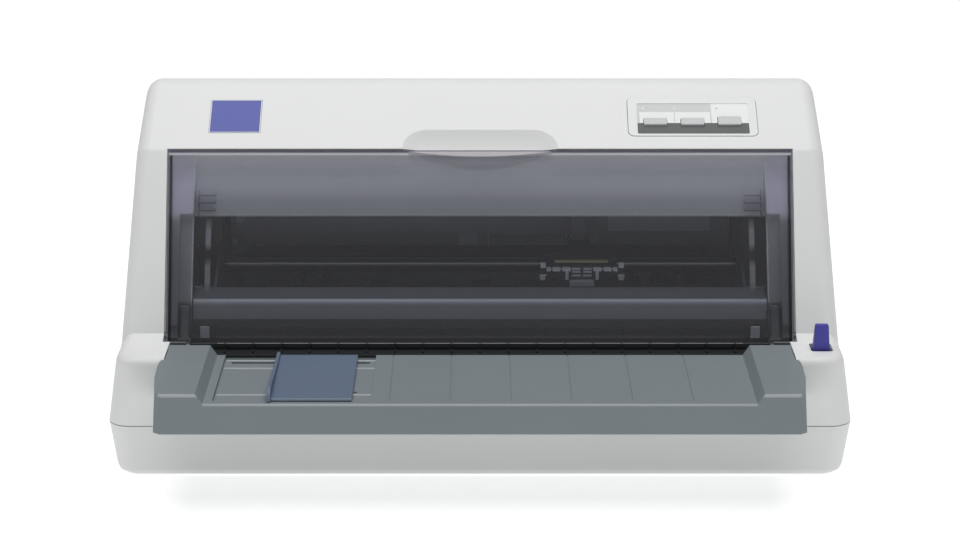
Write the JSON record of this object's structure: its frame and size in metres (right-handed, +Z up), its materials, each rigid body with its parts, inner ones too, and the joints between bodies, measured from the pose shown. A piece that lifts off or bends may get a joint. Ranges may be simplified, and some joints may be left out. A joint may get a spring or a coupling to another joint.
{
  "type": "dot matrix printer",
  "caption": "Flatbed dot matrix printer with a clear hinged cover, front sheet tray, sliding edge guide, moving print carriage, geared feed rollers and rear tractors.",
  "frame": {"origin": "on the table, midway between the sides and midway between the tray lip and the rear wall", "axes": "+X to the right seen from the front, along the width; +Y to the rear; +Z up"},
  "size_m": [0.468, 0.335, 0.2182],
  "materials": {
    "case_white": "fine moulded texture",
    "cover_smoke": "smoky clear plastic",
    "tray_grey": "fine moulded texture",
    "guide_grey": "fine moulded texture",
    "accent_blue": "satin",
    "panel_pale": "satin",
    "button_grey": "satin",
    "lens_clear": "clear",
    "dark_plastic": "moulded",
    "rubber_black": "soft",
    "roller_rubber": "soft rollers on steel shafts",
    "sheet_steel": "zinc plated sheet",
    "dark_steel": "blackened sheet",
    "shaft_steel": "ground",
    "head_alloy": "die cast",
    "motor_steel": "plated can",
    "gear_white": "moulded acetal",
    "pinion_brass": "turned",
    "board_green": "circuit board with parts",
    "board_yellow": "circuit board"
  },
  "bodies": {
    "housing": {"lower_case": "case_white", "upper_case": "case_white", "rubber_feet": "rubber_black", "front_tray": "tray_grey", "lever_pivot": "sheet_steel", "control_panel": "panel_pale", "indicator_lenses": "lens_clear", "button_springs": "shaft_steel", "panel_board": "board_green", "badge_plate": "accent_blue", "switch_frame": "dark_plastic", "ac_inlet": "dark_plastic", "interface_ports": "sheet_steel", "base_plate": "sheet_steel", "side_frame_left": "sheet_steel", "side_frame_right": "sheet_steel", "rear_frame": "dark_steel", "front_guide_bar": "dark_plastic", "lower_paper_guide": "dark_plastic", "platen": "rubber_black", "carriage_rod": "shaft_steel", "carriage_belt": "rubber_black", "carriage_motor": "motor_steel", "idler_bracket": "sheet_steel", "tension_spring": "shaft_steel", "feed_motor": "motor_steel", "tractor_rod": "shaft_steel", "main_board": "board_green", "power_supply": "board_green", "case_screws": "shaft_steel"},
    "cover": {"printer_cover": "cover_smoke"},
    "door": {"rear_door": "case_white"},
    "guide": {"edge_guide": "guide_grey"},
    "lever": {"release_lever": "accent_blue"},
    "button_l": {"button_left": "button_grey"},
    "button_m": {"button_middle": "button_grey"},
    "button_r": {"button_right": "button_grey"},
    "switch": {"power_switch": "dark_plastic"},
    "carriage_unit": {"carriage": "dark_plastic", "print_head": "head_alloy", "head_board": "board_yellow", "ribbon_mask": "shaft_steel"},
    "pulley_drive": {"drive_pulley": "gear_white"},
    "pulley_idler": {"idler_pulley": "gear_white"},
    "rear_feed": {"rear_feed_roller": "roller_rubber", "feed_knob": "dark_plastic"},
    "front_feed": {"front_feed_roller": "roller_rubber"},
    "front_pinch": {"front_pinch_rollers": "roller_rubber"},
    "rear_pinch": {"rear_pinch_rollers": "roller_rubber"},
    "pinion": {"motor_pinion": "pinion_brass"},
    "gear_centre": {"centre_gear": "gear_white"},
    "gear_a": {"transfer_gear_a": "gear_white"},
    "gear_b": {"transfer_gear_b": "gear_white"},
    "tractor_drive": {"tractor_shaft": "shaft_steel"},
    "tractor_l": {"tractor_left": "dark_plastic"},
    "tractor_r": {"tractor_right": "dark_plastic"},
    "sprocket_l": {"sprocket_left": "gear_white"},
    "sprocket_r": {"sprocket_right": "gear_white"},
    "flap_l": {"tractor_flap_left": "dark_plastic"},
    "flap_r": {"tractor_flap_right": "dark_plastic"}
  },
  "joints": [
    {"name": "cover_hinge", "type": "hinge", "parent": "housing", "child": "cover", "pos_m": [0, -0.06645, 0.07895], "axis": [1, 0, 0], "range_deg": [0, 100]},
    {"name": "rear_door_hinge", "type": "hinge", "parent": "housing", "child": "door", "pos_m": [0, 0.1644, 0.133], "axis": [1, 0, 0], "range_deg": [0, 110]},
    {"name": "edge_guide_slide", "type": "slide", "parent": "housing", "child": "guide", "axis": [1, 0, 0], "range_m": [-0.032, 0.006]},
    {"name": "release_lever_pivot", "type": "hinge", "parent": "housing", "child": "lever", "pos_m": [0.2139, -0.087, 0.052], "axis": [1, 0, 0], "range_deg": [-14, 0]},
    {"name": "button_left_press", "type": "slide", "parent": "housing", "child": "button_l", "axis": [0, 0.5592, -0.829], "range_m": [0, 0.0008], "stiffness_N_per_m": 300, "springref_m": -0.001},
    {"name": "button_middle_press", "type": "slide", "parent": "housing", "child": "button_m", "axis": [0, 0.5592, -0.829], "range_m": [0, 0.0008], "stiffness_N_per_m": 300, "springref_m": -0.001},
    {"name": "button_right_press", "type": "slide", "parent": "housing", "child": "button_r", "axis": [0, 0.5592, -0.829], "range_m": [0, 0.0008], "stiffness_N_per_m": 300, "springref_m": -0.001},
    {"name": "power_switch_rock", "type": "hinge", "parent": "housing", "child": "switch", "pos_m": [-0.197, 0.163, 0.052], "axis": [1, 0, 0], "range_deg": [0, 10]},
    {"name": "carriage_slide", "type": "slide", "parent": "housing", "child": "carriage_unit", "axis": [1, 0, 0], "range_m": [-0.192, 0.06]},
    {"name": "drive_pulley_spin", "type": "hinge", "parent": "housing", "child": "pulley_drive", "pos_m": [0.15, 0.056, 0.095], "axis": [0, 0, 1], "continuous": true},
    {"name": "idler_pulley_spin", "type": "hinge", "parent": "housing", "child": "pulley_idler", "pos_m": [-0.15, 0.056, 0.095], "axis": [0, 0, 1], "continuous": true},
    {"name": "rear_feed_spin", "type": "hinge", "parent": "housing", "child": "rear_feed", "pos_m": [0, 0.034, 0.0662], "axis": [1, 0, 0], "continuous": true},
    {"name": "front_feed_spin", "type": "hinge", "parent": "housing", "child": "front_feed", "pos_m": [0, -0.034, 0.0662], "axis": [1, 0, 0], "continuous": true},
    {"name": "front_pinch_spin", "type": "hinge", "parent": "housing", "child": "front_pinch", "pos_m": [0, -0.034, 0.078], "axis": [1, 0, 0], "continuous": true},
    {"name": "rear_pinch_spin", "type": "hinge", "parent": "housing", "child": "rear_pinch", "pos_m": [0, 0.034, 0.078], "axis": [1, 0, 0], "continuous": true},
    {"name": "motor_pinion_spin", "type": "hinge", "parent": "housing", "child": "pinion", "pos_m": [0, 0, 0.0394], "axis": [1, 0, 0], "continuous": true},
    {"name": "centre_gear_spin", "type": "hinge", "parent": "housing", "child": "gear_centre", "pos_m": [0, 0, 0.0662], "axis": [1, 0, 0], "continuous": true},
    {"name": "transfer_a_spin", "type": "hinge", "parent": "housing", "child": "gear_a", "pos_m": [0, 0.066, 0.0662], "axis": [1, 0, 0], "continuous": true},
    {"name": "transfer_b_spin", "type": "hinge", "parent": "housing", "child": "gear_b", "pos_m": [0, 0.1059, 0.06341], "axis": [1, 0, 0], "continuous": true},
    {"name": "tractor_drive_spin", "type": "hinge", "parent": "housing", "child": "tractor_drive", "pos_m": [0, 0.13744, 0.058], "axis": [1, 0, 0], "continuous": true},
    {"name": "tractor_left_slide", "type": "slide", "parent": "housing", "child": "tractor_l", "axis": [1, 0, 0], "range_m": [-0.032, 0.078]},
    {"name": "tractor_right_slide", "type": "slide", "parent": "housing", "child": "tractor_r", "axis": [1, 0, 0], "range_m": [-0.078, 0.032]},
    {"name": "sprocket_left_spin", "type": "hinge", "parent": "tractor_l", "child": "sprocket_l", "pos_m": [0, 0.13744, 0.058], "axis": [1, 0, 0], "continuous": true},
    {"name": "sprocket_right_spin", "type": "hinge", "parent": "tractor_r", "child": "sprocket_r", "pos_m": [0, 0.13744, 0.058], "axis": [1, 0, 0], "continuous": true},
    {"name": "flap_left_hinge", "type": "hinge", "parent": "tractor_l", "child": "flap_l", "pos_m": [-0.1296, 0.13744, 0.076], "axis": [0, -1, 0], "range_deg": [0, 100]},
    {"name": "flap_right_hinge", "type": "hinge", "parent": "tractor_r", "child": "flap_r", "pos_m": [0.1296, 0.13744, 0.076], "axis": [0, 1, 0], "range_deg": [0, 100]}
  ],
  "couplings": [
    {"joint": "drive_pulley_spin", "follows": "carriage_slide", "rad_per_m": 147.06},
    {"joint": "idler_pulley_spin", "follows": "carriage_slide", "rad_per_m": 147.06},
    {"joint": "front_feed_spin", "follows": "rear_feed_spin", "ratio": 1},
    {"joint": "front_pinch_spin", "follows": "rear_feed_spin", "ratio": -1.2},
    {"joint": "rear_pinch_spin", "follows": "rear_feed_spin", "ratio": -1.2},
    {"joint": "motor_pinion_spin", "follows": "rear_feed_spin", "ratio": 2.5},
    {"joint": "centre_gear_spin", "follows": "rear_feed_spin", "ratio": -0.54545},
    {"joint": "transfer_a_spin", "follows": "rear_feed_spin", "ratio": -0.6},
    {"joint": "transfer_b_spin", "follows": "rear_feed_spin", "ratio": 0.6},
    {"joint": "tractor_drive_spin", "follows": "rear_feed_spin", "ratio": -1},
    {"joint": "sprocket_left_spin", "follows": "rear_feed_spin", "ratio": -1},
    {"joint": "sprocket_right_spin", "follows": "rear_feed_spin", "ratio": -1}
  ]
}
